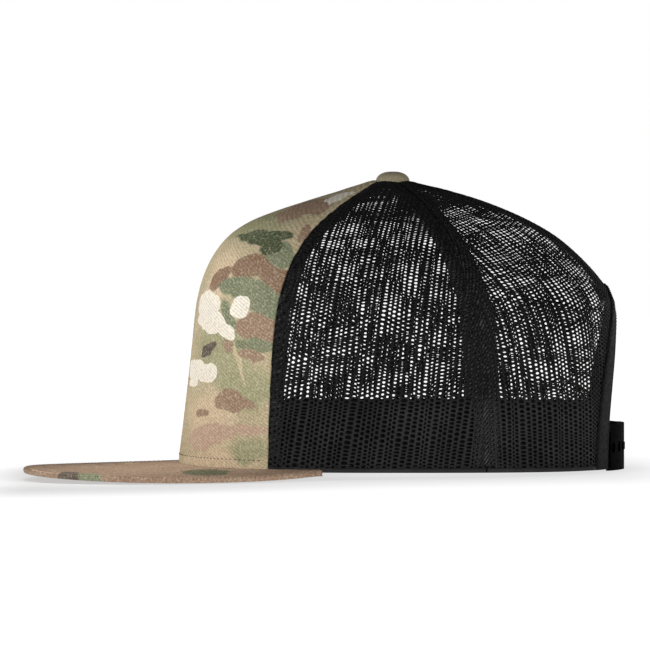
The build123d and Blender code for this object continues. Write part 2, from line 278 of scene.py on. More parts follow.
def new_object(name, points, faces, flat_from=None):
    """A mesh object from points in millimetres; its faces from flat_from on are shaded flat."""
    mesh = bpy.data.meshes.new(name)
    mesh.from_pydata((np.asarray(points).reshape(-1, 3) * MM).tolist(), [], faces)
    mesh.polygons.foreach_set("use_smooth", np.arange(len(faces)) < (flat_from or len(faces)))
    mesh.validate()
    mesh.update()
    return linked(name, mesh)


def grid_faces(rows, columns, offset=0, flip=False, wrap=False):
    """Quads over a grid of points, row by row."""
    faces = []
    for i in range(rows - 1):
        for j in range(columns if wrap else columns - 1):
            k = (j + 1) % columns
            face = [i * columns + j, i * columns + k, (i + 1) * columns + k, (i + 1) * columns + j]
            faces.append([offset + v for v in (face[::-1] if flip else face)])
    return faces


def shell(name, outer, inner):
    """A closed thin sheet between two grids of points of the same shape."""
    rows, columns = outer.shape[:2]
    count = rows * columns
    faces = grid_faces(rows, columns) + grid_faces(rows, columns, count, flip=True)
    rim_from = len(faces)
    ring = [(0, j) for j in range(columns)] + [(i, columns - 1) for i in range(1, rows)]
    ring += [(rows - 1, j) for j in range(columns - 2, -1, -1)] + [(i, 0) for i in range(rows - 2, 0, -1)]
    ring = [i * columns + j for i, j in ring]
    for a, b in zip(ring, ring[1:] + ring[:1]):
        faces.append([b, a, a + count, b + count])
    points = np.concatenate([outer.reshape(-1, 3), inner.reshape(-1, 3)])
    return new_object(name, points, faces, flat_from=rim_from)


def crown_shell(name, phi, z, outer_lift, inner_lift):
    """A sheet that follows the sewn cloth."""
    return shell(name, cloth(phi, z, outer_lift), cloth(phi, z, inner_lift))


def inner_shell(name, phi, z, outer_lift, inner_lift):
    """A sheet that follows the plain crown."""
    return shell(name, off_crown(phi, z, outer_lift), off_crown(phi, z, inner_lift))


def join(name, pieces):
    """One object out of several."""
    bpy.ops.object.select_all(action="DESELECT")
    for piece in pieces:
        piece.select_set(True)
    bpy.context.view_layer.objects.active = pieces[0]
    bpy.ops.object.join()
    pieces[0].name = name
    pieces[0].data.name = name
    return pieces[0]


def mirror(mesh):
    """Moves a mesh to the other side of the cap."""
    points = np.empty(len(mesh.vertices) * 3, np.float32)
    mesh.vertices.foreach_get("co", points)
    points[::3] *= -1
    mesh.vertices.foreach_set("co", points)
    mesh.flip_normals()
    mesh.update()


def mirrored(thing, name):
    """A copy of a piece on the other side of the cap."""
    twin = linked(name, thing.data.copy())
    mirror(twin.data)
    return twin


# ---------------- knitted mesh panels
class PanelMap:
    """Carries flat cloth onto the crown: up its own middle line, and square to that along level lines."""

    def __init__(self, middle_phi, edge_low, edge_high, narrowing):
        self.z, self.length = even_heights(middle_phi, HEM, CROWN_TOP, 500)
        self.up = np.linspace(0, self.length, len(self.z))
        turn = np.linspace(-1.9, 1.9, 521)
        points = crown(middle_phi + turn[None, :], self.z[:, None])
        piece = np.linalg.norm(np.diff(points, axis=1), axis=2)
        across = np.concatenate([np.zeros((len(self.z), 1)), np.cumsum(piece, axis=1)], axis=1)
        across -= across[:, [len(turn) // 2]]
        self.step = np.linspace(-90, 90, 361)
        self.phi = np.array([np.interp(self.step, row, middle_phi + turn) for row in across])
        self.edges = [
            np.array([np.interp(e, middle_phi + turn, row) for e, row in zip(edge, across)])
            for edge in (edge_low(self.z), edge_high(self.z))
        ]
        self.narrowing = narrowing

    def spread(self, up):
        return 1 - self.narrowing * (np.clip(up, 0, self.length) / self.length) ** 2

    def limits(self, up):
        return [np.interp(up, self.up, edge) for edge in self.edges]

    def place(self, across, up):
        """(phi, z) of a flat point, held inside the panel's edges."""
        up = np.clip(up, 0, self.length)
        low, high = self.limits(up)
        across = np.clip(across * self.spread(up), low, high)
        row = up / self.length * (len(self.z) - 1)
        column = (across - self.step[0]) / (self.step[1] - self.step[0])
        i = np.clip(row.astype(int), 0, len(self.z) - 2)
        j = np.clip(column.astype(int), 0, len(self.step) - 2)
        u, v = row - i, column - j
        phi = (self.phi[i, j] * (1 - u) * (1 - v) + self.phi[i + 1, j] * u * (1 - v)
               + self.phi[i, j + 1] * (1 - u) * v + self.phi[i + 1, j + 1] * u * v)
        return phi, np.interp(up, self.up, self.z)


def wander(flat, seed):
    """How far the knit strays from its even layout: columns crowd and part, rows rise and fall."""
    rng = np.random.default_rng(seed)
    across, up = flat.T
    sideways, upward = np.zeros(len(flat)), np.zeros(len(flat))
    for length, reach in WANDER_ACROSS:
        drift, start = rng.uniform(-0.05, 0.05), rng.uniform(0, 2 * math.pi)
        sideways += reach * np.sin(2 * math.pi * across / length + drift * up + start)
    for length, reach in WANDER_UP:
        drift, start = rng.uniform(-0.12, 0.12), rng.uniform(0, 2 * math.pi)
        upward += reach * np.sin(2 * math.pi * up / length + drift * across + start)
    return np.stack([sideways, upward], -1)


def knit(name, panel, lean, rows, closing, seed, blocked):
    """An open knit: a honeycomb of oval holes whose strands are round-shouldered.

    lean and rows are the slopes of its columns and rows in degrees; no hole is where blocked holds.
    """
    half_up = HOLE_PITCH_UP / 2
    inner = (HOLE_PITCH_ACROSS**2 - half_up**2) / (2 * HOLE_PITCH_ACROSS)
    outer = HOLE_PITCH_ACROSS - inner
    corners = np.array([(outer, 0), (inner, half_up), (-inner, half_up),
                        (-outer, 0), (-inner, -half_up), (inner, -half_up)])
    ring = np.empty((HOLE_SIDES, 2))
    ring[0::2], ring[1::2] = corners, (corners + np.roll(corners, -1, axis=0)) / 2
    bearing = np.arctan2(ring[:, 1] / HOLE_HALF_HEIGHT, ring[:, 0] / HOLE_HALF_WIDTH)
    hole = np.stack([HOLE_HALF_WIDTH * np.cos(bearing), HOLE_HALF_HEIGHT * np.sin(bearing)], -1)

    i, j = np.meshgrid(np.arange(-60, 61), np.arange(-40, 150), indexing="ij")
    centre = np.stack([i * HOLE_PITCH_ACROSS, j * HOLE_PITCH_UP + (i % 2) * half_up], -1).reshape(-1, 2)
    tilt = np.array([[1, math.tan(math.radians(rows))], [math.tan(math.radians(lean)), 1]])

    def laid(flat):
        return (flat + wander(flat, seed)) @ tilt

    at = laid(centre)
    low, high = panel.limits(at[:, 1])
    across = at[:, 0] * panel.spread(at[:, 1])
    keep = (across > low + KNIT_MARGIN) & (across < high - KNIT_MARGIN)
    keep &= (at[:, 1] > KNIT_MARGIN) & (at[:, 1] < panel.length - KNIT_TOP_MARGIN)
    if blocked:
        keep[keep] = ~blocked(crown(*panel.place(*at[keep].T)))
    centre = centre[keep]

    border = (centre[:, None, :] + ring[None, :, :]).reshape(-1, 2)
    keys = np.round(border / 0.02).astype(np.int64)
    _, first, shared = np.unique(keys, axis=0, return_index=True, return_inverse=True)
    shared = shared.reshape(-1, HOLE_SIDES)
    size = np.random.default_rng(seed + 100).uniform(*HOLE_SIZES, (len(centre), 1, 1))
    upper = np.clip((at[keep, 1] / panel.length - CLOSING_FROM) / (1 - CLOSING_FROM), 0, 1)
    size *= 1 - closing * upper[:, None, None]
    rim = (centre[:, None, :] + hole[None, :, :] * size).reshape(-1, 2)
    corner_phi, corner_z = panel.place(*laid(border[first]).T)
    rim_phi, rim_z = panel.place(*laid(rim).T)
    half = KNIT_THICKNESS / 2
    top = cloth(corner_phi, corner_z, KNIT_DEPTH + half)
    middle = cloth(rim_phi, rim_z, KNIT_DEPTH)
    bottom = cloth(corner_phi, corner_z, KNIT_DEPTH - half)
    count = len(first)
    gap = count + len(rim)
    ring_b = np.arange(len(rim)).reshape(-1, HOLE_SIDES) + count
    ring_c = shared + gap

    faces = []
    for k in range(HOLE_SIDES):
        n = (k + 1) % HOLE_SIDES
        faces.append(np.stack([shared[:, k], shared[:, n], ring_b[:, n], ring_b[:, k]], -1))
        faces.append(np.stack([ring_b[:, k], ring_b[:, n], ring_c[:, n], ring_c[:, k]], -1))
    sides = np.concatenate([np.stack([shared[:, k - 1], shared[:, k]], -1) for k in range(HOLE_SIDES)])
    _, back_to, times = np.unique(np.sort(sides, axis=1), axis=0, return_inverse=True, return_counts=True)
    loose = sides[times[back_to.ravel()] == 1]
    faces.append(np.stack([loose[:, 1], loose[:, 0], loose[:, 0] + gap, loose[:, 1] + gap], -1))
    faces = np.concatenate(faces)
    return new_object(name, np.concatenate([top, middle, bottom]), faces.tolist())


def hem_fold(name, phi_low, phi_high):
    """The turned-under lower edge of a mesh panel."""
    phi = np.linspace(phi_low, phi_high, 120)
    section = [(0.0, -1.2), (0.0, 0.05), (0.5, 0.22), (1.3, 0.22), (1.9, 0.05), (2.0, -0.5)]
    outer = np.stack([cloth(phi, HEM + up, lift) for up, lift in section])
    inner = np.stack([cloth(phi, HEM + 0.4 + 0.6 * up, -1.2) for up, _ in section])
    return shell(name, outer, inner)


# ---------------- stitches
def resampled(points, pitch):
    """Places and directions at an even pitch along a line of points, and where on it each lies."""
    length = run_length(points)
    count = max(int(length[-1] / pitch), 1)
    at = (np.arange(count) + 0.5) * length[-1] / count
    along = read_off(at + 0.3, length, points) - read_off(at - 0.3, length, points)
    return read_off(at, length, points), along / np.linalg.norm(along, axis=1, keepdims=True), at / length[-1]


def stitch_geometry(points, normals, pitch, share):
    """Short arched threads along a line, each as long as a share of the pitch: points and faces."""
    place, along, at = resampled(points, pitch)
    up = read_off(at * (len(points) - 1), np.arange(len(points)), normals)
    up -= along * np.sum(up * along, axis=1, keepdims=True)
    up /= np.linalg.norm(up, axis=1, keepdims=True)
    side = np.cross(along, up)
    stations = np.array([-0.5, -0.36, 0, 0.36, 0.5]) * pitch * share
    girth = np.array([0.45, 0.95, 1.1, 0.95, 0.45]) * THREAD_RADIUS
    rise = np.array([-0.9, 0.2, 0.6, 0.2, -0.9]) * THREAD_RADIUS
    turns = np.arange(6) * math.pi / 3
    centre = place[:, None] + along[:, None] * stations[:, None] + up[:, None] * rise[:, None]
    ring = side[:, None, None] * np.cos(turns)[:, None] + up[:, None, None] * np.sin(turns)[:, None]
    points = (centre[:, :, None] + ring * girth[:, None, None]).reshape(-1, 3)
    one = grid_faces(5, 6, flip=True, wrap=True) + [list(range(6)), list(range(29, 23, -1))]
    return points, [[30 * n + v for v in face] for n in range(len(place)) for face in one]


def stitches(name, lines, pitch, share=0.68):
    """One object of stitches along several lines, each given as points and normals."""
    points, faces, count = [], [], 0
    for line, normals in lines:
        p, f = stitch_geometry(line, normals, pitch, share)
        points.append(p)
        faces += [[v + count for v in face] for face in f]
        count += len(p)
    return new_object(name, np.concatenate(points), faces)


def crown_line(phi, z, lift):
    """Points on the sewn crown and their normals."""
    return cloth(phi, z, lift), crown_normal(phi, z)


def beside_seam(seam, offset, side):
    """A line that runs up beside a seam, towards the front of it if offset is negative."""
    phi, z = seam_line(seam, SEAM_STITCH_LOW, SEAM_STITCH_HIGH, 260)
    return crown_line(side * (phi - offset / crown_radius(phi, z, NEAR_AXIS)), z, SEAM_STITCH_LIFT)


# ---------------- materials
def linear(*srgb):
    """A colour given in 0 to 255, as the shader wants it."""
    out = [c / 255 for c in srgb]
    return [c / 12.92 if c <= 0.04045 else ((c + 0.055) / 1.055) ** 2.4 for c in out] + [1.0]


class Tree:
    """A short way to write a material's nodes."""

    def __init__(self, name):
        self.material = bpy.data.materials.new(name)
        self.material.use_nodes = True
        self.nodes = self.material.node_tree.nodes
        self.links = self.material.node_tree.links
        self.shader = self.nodes["Principled BSDF"]
        self.where = self.add("ShaderNodeTexCoord").outputs["Object"]

    def add(self, kind, settings=None, **inputs):
        node = self.nodes.new(kind)
        for key, value in (settings or {}).items():
            setattr(node, key, value)
        for key, value in inputs.items():
            self.set(node.inputs[int(key[1:]) if key[1:].isdigit() else key], value)
        return node

    def set(self, socket, value):
        if isinstance(value, bpy.types.NodeSocket):
            self.links.new(value, socket)
        else:
            socket.default_value = value

    def math(self, operation, *values, kind="ShaderNodeMath"):
        inputs = {f"_{k}": value for k, value in enumerate(values)}
        return self.add(kind, {"operation": operation}, **inputs).outputs[0]

    def number(self, operation, *values):
        """The number, not the vector, that comes of vectors."""
        inputs = {f"_{k}": value for k, value in enumerate(values)}
        return self.add("ShaderNodeVectorMath", {"operation": operation}, **inputs).outputs["Value"]

    def axis(self, k, vector=None):
        return self.add("ShaderNodeSeparateXYZ", None, Vector=vector or self.where).outputs[k]

    def noise(self, scale, detail=2.0, roughness=0.5, vector=None):
        return self.add("ShaderNodeTexNoise", None, Vector=vector or self.where, Scale=scale,
                        Detail=detail, Roughness=roughness).outputs["Fac"]

    def shifted(self, location=(0, 0, 0), rotation=(0, 0, 0), scale=(1, 1, 1), vector=None, kind="POINT"):
        return self.add("ShaderNodeMapping", {"vector_type": kind}, Vector=vector or self.where,
                        Location=location, Rotation=rotation, Scale=scale).outputs[0]

    def wave(self, scale, vector=None, distortion=0.0, direction="X"):
        settings = {"wave_type": "BANDS", "bands_direction": direction}
        return self.add("ShaderNodeTexWave", settings, Vector=vector or self.where, Scale=scale,
                        Distortion=distortion).outputs["Fac"]

    def mix(self, factor, a, b, blend="MIX"):
        """Two colours by a factor. A colour is a socket or is given in 0 to 255."""
        node = self.add("ShaderNodeMix", {"data_type": "RGBA", "blend_type": blend}, _0=factor)
        for k, colour in ((6, a), (7, b)):
            self.set(node.inputs[k], linear(*colour) if isinstance(colour, tuple) else colour)
        return node.outputs[2]

    def ramp(self, value, low, high, out_low=0.0, out_high=1.0, smooth=True):
        kind = {"interpolation_type": "SMOOTHSTEP" if smooth else "LINEAR", "clamp": True}
        return self.add("ShaderNodeMapRange", kind, _0=value, _1=low, _2=high, _3=out_low,
                        _4=out_high).outputs[0]

    def finish(self, colour, roughness, height=None, depth=0.0, strength=0.8, specular=0.3, sheen=0.0,
               metallic=0.0):
        """The finished material. A height of 1 stands depth metres above a height of 0."""
        values = {"Base Color": colour, "Roughness": roughness, "Specular IOR Level": specular,
                  "Sheen Weight": sheen, "Sheen Roughness": 0.4, "Metallic": metallic}
        for name, value in values.items():
            self.set(self.shader.inputs[name], value)
        if height is not None:
            bump = self.add("ShaderNodeBump", None, Height=height, Distance=depth, Strength=strength)
            self.set(self.shader.inputs["Normal"], bump.outputs[0])
        return self.material


def ribs(t, across, pitch):
    """Even ribs, 0 in the groove and 1 on the crest, that repeat every pitch along a direction."""
    turn = t.math("MULTIPLY", t.number("DOT_PRODUCT", t.where, across), 2 * math.pi / (pitch * MM))
    turn = t.math("ADD", turn, t.math("MULTIPLY", t.noise(260), 1.3 * 2 * math.pi / 4))
    return t.math("ADD", t.math("MULTIPLY", t.math("SINE", turn), 0.5), 0.5)


def twill_height(t, pitch, main=(0.3, 0.36, 0.88), cross=(-0.62, -0.66, 0.42)):
    """Diagonal ribs with a finer cross thread."""
    lines, threads = ribs(t, main, pitch), ribs(t, cross, pitch * 0.7)
    return t.math("ADD", t.math("MULTIPLY", lines, 0.6), t.math("MULTIPLY", threads, 0.4))


# The print's patches on the wearer's left: y, z, half sizes along and up, and turn. Later layers lie on top.
CROWN_PATCHES = {
    "tan": [(-80, 22, 10, 13, 0.0), (-76, 2, 18, 7, 0.0), (-76, 84, 5, 14, -0.5)],
    "olive": [(-74, 54, 13, 12, 0.0), (-60, 111, 21, 8, 0.25), (-71, 43, 9, 9, 0.0),
              (-62, 36, 10, 9, 0.3), (-62.8, 8.8, 8, 5.2, 0.1)],
    "umber": [(-62, 89.5, 10.5, 5.4, 0.35), (-51.5, 85, 6.5, 5.2, 0.0), (-76, 84, 6.2, 2.4, 0.9),
              (-51, 84, 9, 6, -0.3)],
    "brown": [(-57, 63, 12, 8, 0.0), (-73, 54.5, 2.6, 2.5, 0.0), (-63, 50.5, 5.2, 3.1, -0.35),
              (-71.5, 30.5, 7.4, 5, -0.1), (-63, 30.3, 4.2, 2.1, -0.35), (-84, 25, 2.9, 2.2, 0.0),
              (-38.5, 114.5, 13.5, 3.2, 0.36), (-39.5, 104, 2.3, 4.2, -0.55)],
    "rose": [(-80, 14.5, 11, 5.2, 0.15), (-63.5, 18, 8.6, 2.9, 0.0)],
    "green": [(-65.5, 79.4, 10.8, 4.8, -0.12), (-57, 75.4, 7.2, 5.4, 0.0), (-71.6, 68, 2.6, 6.8, 0.29),
              (-61, 55.4, 8.8, 2.9, -0.1), (-52, 73, 6, 5, 0.0), (-49.5, 94.5, 6, 5.6, 0.0)],
    "pine": [(-56.6, 102.3, 11.8, 2.9, 0.05), (-53, 97.5, 4.4, 3.4, 0.0)],
    "streak": [(-67.3, 47, 0.95, 9.6, 0.3), (-72.3, 11.6, 2, 1.8, 0.0)],
    "cream": [(-80.8, 72.2, 5.5, 6.8, 0.1), (-79, 64.6, 6.8, 4.5, -0.2), (-74, 61, 5.1, 3.7, -0.5),
              (-66.6, 71.9, 3.7, 4.3, -0.1), (-85, 43.4, 6.6, 4.2, -0.35), (-80, 41.2, 3.4, 3.4, 0.0),
              (-88.5, 39, 2, 2.4, 0.0), (-23, 120.4, 7.6, 1.4, 0.36)],
    "dark": [(-82, 52.7, 1.8, 4.4, -0.55)],
}
# The same on the visor: x, y, half sizes and turn in plan.
VISOR_PATCHES = {
    "pine": [(76, -82, 15, 10, 0.35)],
    "green": [(71, -133.5, 8, 7, 0.0)],
    "dark": [(60, -142.5, 10, 3.4, 0.35)],
}
GROUND = (192, 177, 143)
# Layers, each over the one before: colour, and for the wild patches on the rest of the cloth
# scale, stretch, seed, how much of the cloth they leave bare, and softness of the edge.
LAYERS = {
    "tan": ((212, 190, 158), 20, (1, 0.8, 1.5), 3.0, 0.50, 0.30),
    "olive": ((166, 163, 126), 22, (1, 0.8, 1.5), 6.0, 0.56, 0.30),
    "brown": ((160, 132, 110), 26, (1, 0.8, 1.5), 4.1, 0.53, 0.07),
    "umber": ((142, 113, 91), 25, (1, 0.8, 1.5), 7.7, 0.62, 0.10),
    "rose": ((196, 166, 143), 28, (1, 0.8, 1.5), 5.2, 0.62, 0.08),
    "green": ((128, 135, 106), 24, (1, 0.8, 1.5), 9.3, 0.56, 0.10),
    "pine": ((80, 90, 62), 26, (1, 0.8, 1.9), 12.4, 0.64, 0.10),
    "streak": ((204, 187, 152), 34, (1, 1.2, 0.9), 18.2, 0.64, 0.06),
    "cream": ((247, 240, 226), 30, (1, 1.2, 1.2), 15.7, 0.66, 0.03),
    "dark": ((98, 86, 76), 40, (1, 1, 2.2), 21.9, 0.70, 0.04),
}


def camouflage(name, patches, axes, bare=0.0, sheen=0.0, twill=(), tint=(255, 214, 176), depth=0.0004):
    """Cotton twill printed with a generic camouflage of soft and hard-edged patches.

    patches are laid on the wearer's left in the two given axes; the rest of the cloth is left to
    chance, with bare added to how empty each wild layer is.
    """
    t = Tree(name)
    vector = {"kind": "ShaderNodeVectorMath"}
    warp = t.add("ShaderNodeTexNoise", None, Vector=t.where, Scale=75.0, Detail=2.0).outputs["Color"]
    warp = t.math("SUBTRACT", warp, (0.5,) * 3, **vector)
    bent = t.math("MULTIPLY_ADD", warp, (0.008,) * 3, t.where, **vector)
    left = t.ramp(t.axis(0), -0.004, 0.014)
    flat = [float(axis in axes) for axis in range(3)]

    def on_axes(pair, rest):
        """A pair in millimetres on the two axes, and another value on the third."""
        return [pair[axes.index(axis)] * MM if axis in axes else rest for axis in range(3)]

    def placed(layer):
        """How far inside the layer's nearest patch a point is: 0 at its edge, 1 at its middle."""
        field = None
        for first, second, along, up, turn in patches.get(layer, []):
            place, size = on_axes((first, second), 0.0), on_axes((along, up), 1.0)
            local = t.shifted(place, on_axes((0.0, 0.0), turn), size, bent, "TEXTURE")
            local = t.math("MULTIPLY", local, flat, **vector)
            inside = t.math("SUBTRACT", 1.0, t.number("LENGTH", local))
            field = inside if field is None else t.math("SMOOTH_MAX", field, inside, 0.12)
        return -1.0 if field is None else field

    colour = GROUND
    for layer, (shade, scale, stretch, seed, threshold, edge) in LAYERS.items():
        where = t.shifted((seed, seed * 0.7, -seed), (0, 0, 0), stretch, bent)
        wild = t.math("SUBTRACT", t.noise(scale, 1.6, 0.45, where), threshold + bare * (layer != "brown"))
        field = t.add("ShaderNodeMix", {"data_type": "FLOAT"}, _0=left, _2=t.math("MULTIPLY", wild, 7.0),
                      _3=placed(layer)).outputs[0]
        if layer == "brown" and bare:
            field = t.math("ADD", field, 1.4)
        colour = t.mix(t.ramp(field, -edge, edge), colour, shade)
    colour = t.mix(t.ramp(t.noise(55, 3), 0.35, 0.7, 0.0, 0.10), colour, (214, 200, 170))
    fleck = t.noise(950, 3, 0.75)
    grain = t.math("ADD", t.math("MULTIPLY", twill_height(t, 1.3, *twill), 0.34), fleck)
    colour = t.mix(t.ramp(grain, 0.4, 0.85, 0.42, 0.0), colour, (120, 108, 92), "MULTIPLY")
    colour = t.mix(t.ramp(fleck, 0.5, 0.7, 0.0, 0.34), colour, (240, 232, 214))
    rough = t.ramp(t.noise(70, 3), 0.3, 0.7, 0.82, 0.95)
    t.shader.inputs["Sheen Tint"].default_value = linear(*tint)
    return t.finish(colour, rough, grain, depth, specular=0.1, sheen=sheen)


def black_cloth(name, shade, pitch, depth=0.0002, roughness=(0.62, 0.85), sheen=0.03, specular=0.12,
                upper=1.0):
    """Black woven or knitted polyester; upper is how much painted shade darkens it above the sweatband."""
    t = Tree(name)
    weave = twill_height(t, pitch)
    dust = t.ramp(t.noise(45, 4, 0.6), 0.3, 0.75)
    colour = t.mix(dust, shade, tuple(c * 1.45 + 3 for c in shade))
    colour = t.mix(t.ramp(weave, 0.3, 0.8, 0.5, 0.0), colour, (3, 3, 3))
    # Painted shade: above the sweatband the colour is scaled down by upper, standing in for the light from
    # below that falls on the lower band.
    colour = t.mix(t.ramp(t.axis(2), 0.026, 0.036), colour, [upper, upper, upper, 1], "MULTIPLY")
    rough = t.ramp(t.noise(160), 0.3, 0.7, *roughness)
    return t.finish(colour, rough, weave, depth, specular=specular, sheen=sheen)


def ribbed_tape(name, groove, crest):
    """Black twill tape with fine ribs."""
    t = Tree(name)
    rib, fine = t.wave(300, t.shifted(rotation=(0.5, 0.2, 0.9)), 1.0), t.noise(700, 2, 0.6)
    colour = t.mix(t.ramp(rib, 0.2, 0.8), (groove, groove, groove), (crest, crest, crest + 1))
    height = t.math("ADD", rib, t.math("MULTIPLY", fine, 0.4))
    return t.finish(colour, t.ramp(fine, 0.3, 0.7, 0.65, 0.9), height, 0.0002, specular=0.1)


def buckram(name):
    """Stiff off-white open weave."""
    t = Tree(name)
    grid = t.math("MAXIMUM", t.wave(240, direction="Z"), t.wave(240, t.shifted(rotation=(0, 0, 0.8))))
    colour = t.mix(t.ramp(grid, 0.55, 0.95), (120, 116, 106), (226, 222, 210))
    colour = t.mix(t.ramp(t.noise(30, 3), 0.4, 0.7, 0.0, 0.15), colour, (190, 180, 160))
    return t.finish(colour, t.ramp(grid, 0, 1, 0.9, 0.7), grid, 0.0003, specular=0.25)


def moulded_plastic(name, shade, roughness, specular=0.4):
    """Moulded plastic with a faint flow texture and handling marks."""
    t = Tree(name)
    marks = t.noise(220, 5, 0.65, t.shifted(scale=(1, 1, 3)))
    colour = t.mix(t.ramp(t.noise(35, 3), 0.3, 0.7), shade, tuple(c * 1.2 + 2 for c in shade))
    rough = t.ramp(marks, 0.3, 0.7, *roughness)
    return t.finish(colour, rough, marks, 0.00005, 0.25, specular=specular)


def stamped_steel(name):
    t = Tree(name)
    grain = t.noise(900, 3, 0.6, t.shifted(scale=(1, 1, 0.1)))
    colour = t.mix(t.ramp(grain, 0.3, 0.7), (150, 150, 152), (196, 196, 198))
    rough = t.ramp(grain, 0.3, 0.7, 0.28, 0.5)
    return t.finish(colour, rough, grain, 0.00003, 0.5, specular=0.5, metallic=1.0)


def thread(name, shade):
    t = Tree(name)
    twist = t.wave(420, t.shifted(rotation=(0.6, 0.6, 0.6)), 0.5)
    colour = t.mix(twist, tuple(c * 0.7 for c in shade), shade)
    return t.finish(colour, t.ramp(twist, 0, 1, 0.5, 0.75), twist, 0.00006, 0.7)


def button_twill(name):
    """Fine ribbed tan twill, pulled over the button."""
    t = Tree(name)
    fine = t.noise(1300, 3, 0.7)
    grain = t.math("ADD", t.math("MULTIPLY", t.wave(480, direction="Y"), 0.35), fine)
    colour = t.mix(t.ramp(grain, 0.35, 0.95), (112, 104, 86), (172, 160, 134))
    colour = t.mix(t.ramp(t.noise(70, 3), 0.4, 0.7, 0.0, 0.35), colour, (140, 128, 104))
    rough = t.ramp(fine, 0.3, 0.7, 0.8, 0.95)
    return t.finish(colour, rough, grain, 0.00025, specular=0.15, sheen=0.1)


def satin_label(name):
    t = Tree(name)
    weft = t.wave(520, direction="Z")
    colour = t.mix(t.ramp(weft, 0.2, 0.8), (205, 202, 194), (232, 230, 224))
    rough = t.ramp(t.noise(90), 0.3, 0.7, 0.4, 0.6)
    return t.finish(colour, rough, weft, 0.00008, 0.6, specular=0.4, sheen=0.1)


PRINT = camouflage("printed_twill", CROWN_PATCHES, (1, 2))
VISOR_PRINT = camouflage("printed_twill_visor", VISOR_PATCHES, (0, 1), bare=0.05, sheen=0.08,
                         tint=(255, 222, 192), depth=0.0006, twill=((0.6, 0.7, 0.35), (-0.7, 0.6, 0.35)))
# upper=0.24 paints shade on the knit above the sweatband.
KNIT = black_cloth("black_knit", (36, 36, 37), 0.45, depth=0.00012, roughness=(0.5, 0.66), sheen=0.0,
                   specular=0.16, upper=0.24)
BAND = black_cloth("black_twill", (13, 13, 14), 0.7)
LINING = black_cloth("black_felt", (20, 20, 21), 1.3, depth=0.0004, roughness=(0.85, 0.98))
# Painted light: the seam tapes behind the mesh get a lighter copy of the black tape than the facing has.
TAPE_PAINTED_LIGHTER = ribbed_tape("black_tape", 26, 84)
FACING = ribbed_tape("black_facing", 6, 24)
BUCKRAM = buckram("buckram")
PLASTIC = moulded_plastic("black_plastic", (3, 3, 3), roughness=(0.6, 0.75), specular=0.05)
PLASTIC.node_tree.nodes["Principled BSDF"].inputs["IOR"].default_value = 1.15
BOARD = moulded_plastic("visor_board_plastic", (205, 205, 200), roughness=(0.5, 0.65))
STEEL = stamped_steel("stamped_steel")
TWILL_TAN = button_twill("tan_twill")
LABEL = satin_label("label_satin")
BLACK_THREAD = thread("black_thread", (24, 24, 25))
PRINT_THREAD = thread("tan_thread", (150, 134, 110))
DARK_THREAD = thread("dark_thread", (44, 37, 30))


def paint(thing, material):
    thing.data.materials.clear()
    thing.data.materials.append(material)


def dress(thing, material, slot, *nodes):
    """Gives a piece of the cap's body its material, hangs it on the cap's body and hides the CAD nodes it
    stands for; slot is not used.
    """
    paint(thing, material)
    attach(thing, "cap")
    if nodes:
        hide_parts(*nodes)


# ---------------- crown: mesh sides and back
def arch_blocked(p):
    """Whether points lie in the back opening, or within a millimetre of it."""
    inside = (p[:, 0] / (ARCH_HALF_WIDTH + 1)) ** 2 + (p[:, 2] / (ARCH_HEIGHT + 1)) ** 2 < 1
    return inside & (p[:, 1] > 0)


def beside(seam, gap):
    """A panel's edge: the azimuth at each height, a gap away from a seam."""
    return lambda z: seam_phi(z, seam) + gap


phi_front, phi_side = (float(seam_phi(HEM, seam)) for seam in (FRONT_SEAM, SIDE_SEAM))
# Each panel's flat map, the azimuths of its hem, and what its holes leave clear.
PANELS = {
    "side": (PanelMap(1.66, beside(SIDE_SEAM, SEAM_HALF_GAP), beside(FRONT_SEAM, -SEAM_HALF_GAP), 0.25),
             (phi_side + 0.004, phi_front - 0.004), None),
    "back": (PanelMap(0.60, lambda z: np.full(z.shape, SEAM_HALF_GAP),
                      beside(SIDE_SEAM, -SEAM_HALF_GAP), 0.15),
             (float(phi_at(ARCH_HALF_WIDTH, HEM)), phi_side - 0.004), arch_blocked),
}
seed = 0
for hand, turned_by in (("left", 0.0), ("right", RIGHT_HAND_TURN)):
    for kind, (panel, hem, blocked) in PANELS.items():
        seed += 1
        lean, rows, closing = PANEL_LAY[kind]
        lattice = knit(f"{kind}_knit", panel, lean + turned_by, rows, closing, seed, blocked)
        piece = join(f"{kind}_mesh_knit_{hand}", [lattice, hem_fold(f"{kind}_hem", *hem)])
        if hand == "right":
            mirror(piece.data)
        dress(piece, KNIT, "black_mesh", f"{kind}_mesh_{hand}")

z, _ = even_heights(0.0, GATHER_LOW, GATHER_HIGH, 28)
phi = np.linspace(-1, 1, 161) * seam_phi(z, FRONT_SEAM)[:, None]
dress(crown_shell("crown_gather", phi, z[:, None], *GATHER_DEPTHS), KNIT, "black_mesh")


# ---------------- crown: printed front
def front_grid(rows, columns, inset=0.0, low=HEM):
    """Azimuths and heights over the front panel."""
    z, _ = even_heights(math.pi, low, CROWN_TOP - 0.3, rows)
    edge = seam_phi(z, FRONT_SEAM) + SEAM_HALF_GAP
    edge = (edge + inset / crown_radius(edge, z, NEAR_AXIS))[:, None]
    return edge + 2 * (math.pi - edge) * np.linspace(0, 1, columns), z[:, None]


phi, z = front_grid(170, FRONT_COLUMNS)
above = (z - visor_z(crown(phi, z))) / 0.9
column = np.arange(FRONT_COLUMNS)
turned_in = np.minimum(column, FRONT_COLUMNS - 1 - column) * 0.55
lift = 0.25 * np.clip(above, 0, 1) ** 0.5 - 0.35 * np.exp(-((turned_in / 0.6) ** 2))
dress(crown_shell("front_panel_cloth", phi, z, lift, lift - 0.7), PRINT, "camo_twill", "front_panel")
stiffening = crown_shell("front_panel_buckram", *front_grid(80, 120, 1.0, HEM + 0.5), *BUCKRAM_DEPTHS)
dress(stiffening, BUCKRAM, "buckram", "front_buckram")


